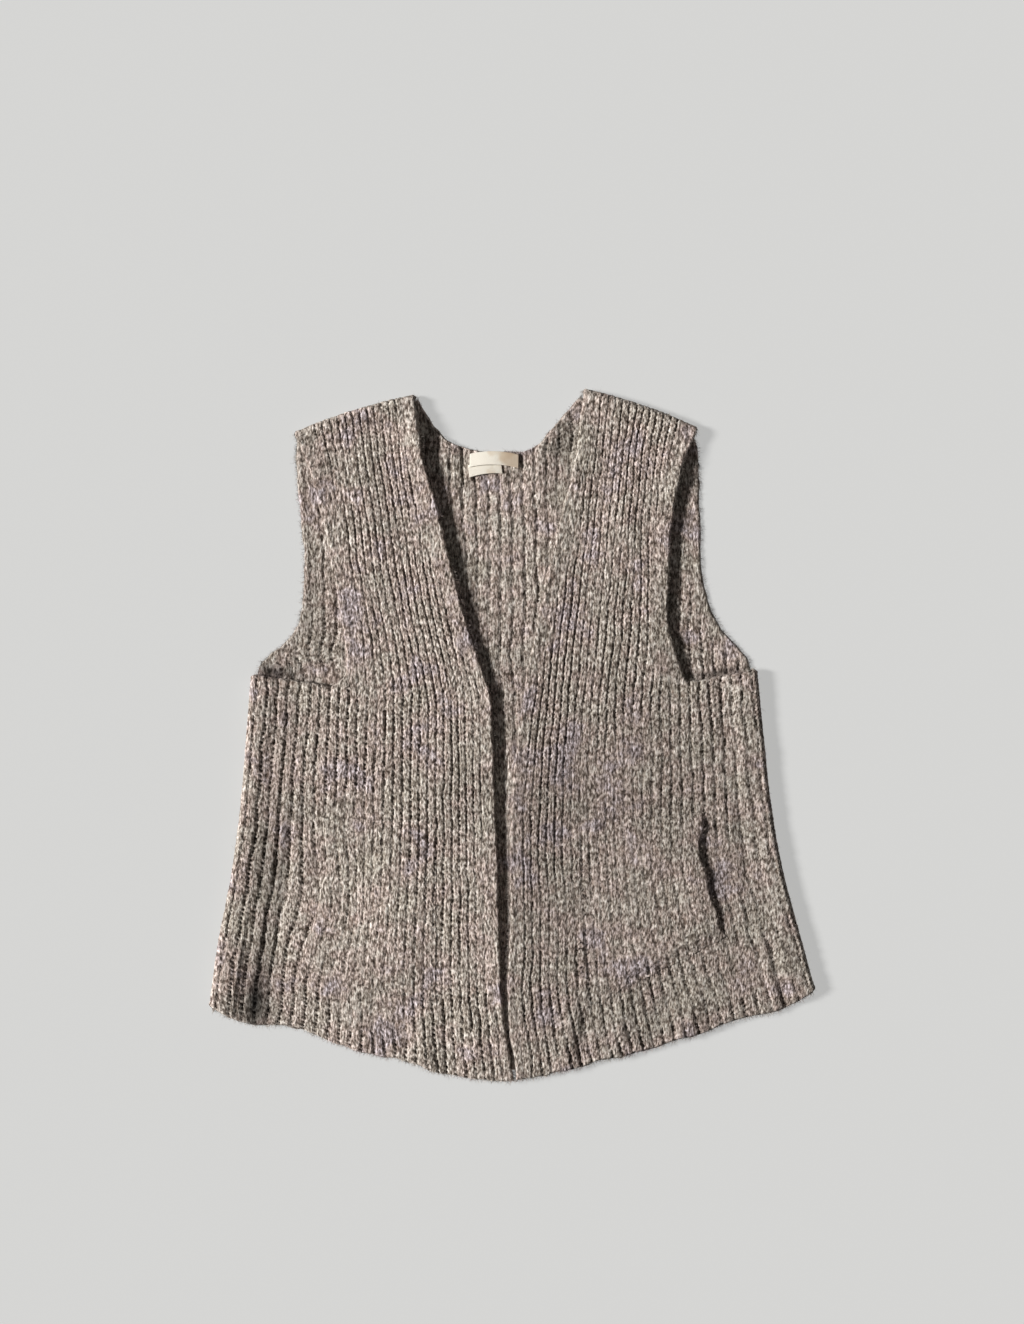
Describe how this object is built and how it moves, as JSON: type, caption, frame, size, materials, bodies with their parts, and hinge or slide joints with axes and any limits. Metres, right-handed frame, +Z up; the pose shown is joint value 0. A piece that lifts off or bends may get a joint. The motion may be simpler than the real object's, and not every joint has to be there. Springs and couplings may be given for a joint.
{
  "type": "knitted sweater vest",
  "caption": "Open-front sleeveless rib-knit sweater vest with a V neck and patch pockets, laid flat on its back.",
  "frame": {"origin": "on the floor, under the middle of the vest's outline", "axes": "+Y from hem to neck, +Z up through the layers from back to fronts, +X to the viewer's right, the wearer's left"},
  "size_m": [0.5456, 0.6196, 0.0156],
  "materials": {
    "wool_knit": "marled taupe-grey wool, chunky brushed rib knit",
    "cotton_label": "plain woven cream cotton tape"
  },
  "bodies": {
    "root": {"back": "wool_knit", "right_front": "wool_knit", "left_front": "wool_knit", "right_pocket": "wool_knit", "left_pocket": "wool_knit", "neck_label": "cotton_label", "size_label": "cotton_label"}
  },
  "joints": []
}
